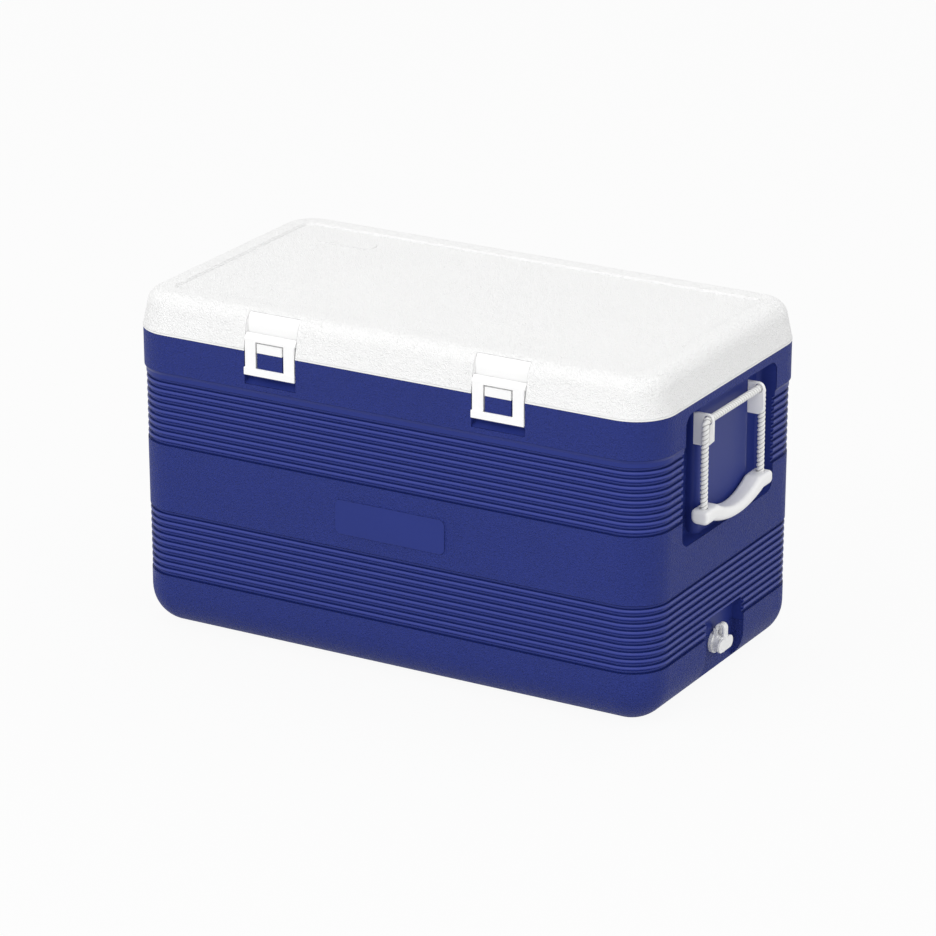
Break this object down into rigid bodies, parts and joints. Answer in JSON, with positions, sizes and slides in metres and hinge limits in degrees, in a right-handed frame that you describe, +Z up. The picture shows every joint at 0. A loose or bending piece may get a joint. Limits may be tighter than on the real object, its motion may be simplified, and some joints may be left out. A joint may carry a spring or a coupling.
{
  "type": "vaccine carrier",
  "caption": "Large insulated vaccine carrier: ribbed drafted body, hinged lid with window latches, rope-and-grip handles at both ends and a low drain with a hinged stopper.",
  "frame": {"origin": "centre of the base, on the ground", "axes": "+X towards the drain end, -Y towards the latches, +Z up; stored closed, handles hanging"},
  "size_m": [0.7274, 0.3988, 0.4185],
  "materials": {
    "body_plastic": "matte, fine leather grain, smooth ribs",
    "lid_plastic": "matte, fine leather grain",
    "liner_plastic": "smooth satin",
    "foam": "fine closed cells",
    "seal_rubber": "matte",
    "latch_plastic": "smooth satin",
    "hinge_plastic": "smooth satin",
    "steel": "brushed",
    "ear_plastic": "smooth satin",
    "rope_fibre": "twisted strands",
    "grip_plastic": "smooth satin",
    "drain_plastic": "smooth satin",
    "washer_rubber": "matte"
  },
  "bodies": {
    "body": {"body_shell": "body_plastic", "body_liner": "liner_plastic", "body_foam": "foam", "hinge_body_leaf_left": "hinge_plastic", "hinge_body_leaf_right": "hinge_plastic", "hinge_pin_left": "steel", "hinge_pin_right": "steel", "hinge_screws_body": "steel", "handle_ear_left_front": "ear_plastic", "handle_ear_left_rear": "ear_plastic", "handle_ear_right_front": "ear_plastic", "handle_ear_right_rear": "ear_plastic", "drain_spout": "drain_plastic", "drain_washer": "washer_rubber", "drain_nut": "drain_plastic"},
    "lid": {"lid_shell": "lid_plastic", "lid_liner": "liner_plastic", "lid_foam": "foam", "lid_seal": "seal_rubber", "hinge_lid_leaf_left": "hinge_plastic", "hinge_lid_leaf_right": "hinge_plastic", "hinge_screws_lid": "steel", "latch_pin_left": "steel", "latch_pin_right": "steel"},
    "latch_left": {"latch_left": "latch_plastic"},
    "latch_right": {"latch_right": "latch_plastic"},
    "handle_left": {"handle_rope_left": "rope_fibre", "handle_grip_left": "grip_plastic"},
    "handle_right": {"handle_rope_right": "rope_fibre", "handle_grip_right": "grip_plastic"},
    "drain_plug": {"drain_plug": "drain_plastic"}
  },
  "joints": [
    {"name": "lid_hinge", "type": "hinge", "parent": "body", "child": "lid", "pos_m": [0, 0.1988, 0.3715], "axis": [-1, 0, 0], "range_deg": [0, 100]},
    {"name": "latch_left_pivot", "type": "hinge", "parent": "lid", "child": "latch_left", "pos_m": [-0.1515, -0.1866, 0.3901], "axis": [-1, 0, 0], "range_deg": [0, 110]},
    {"name": "latch_right_pivot", "type": "hinge", "parent": "lid", "child": "latch_right", "pos_m": [0.1515, -0.1866, 0.3901], "axis": [-1, 0, 0], "range_deg": [0, 110]},
    {"name": "handle_left_swing", "type": "hinge", "parent": "body", "child": "handle_left", "pos_m": [-0.352, 0, 0.342], "axis": [0, 1, 0], "range_deg": [0, 150]},
    {"name": "handle_right_swing", "type": "hinge", "parent": "body", "child": "handle_right", "pos_m": [0.352, 0, 0.342], "axis": [0, -1, 0], "range_deg": [0, 150]},
    {"name": "drain_plug_pivot", "type": "hinge", "parent": "body", "child": "drain_plug", "pos_m": [0.3376, 0, 0.0636], "axis": [0, -1, 0], "range_deg": [0, 70]}
  ]
}
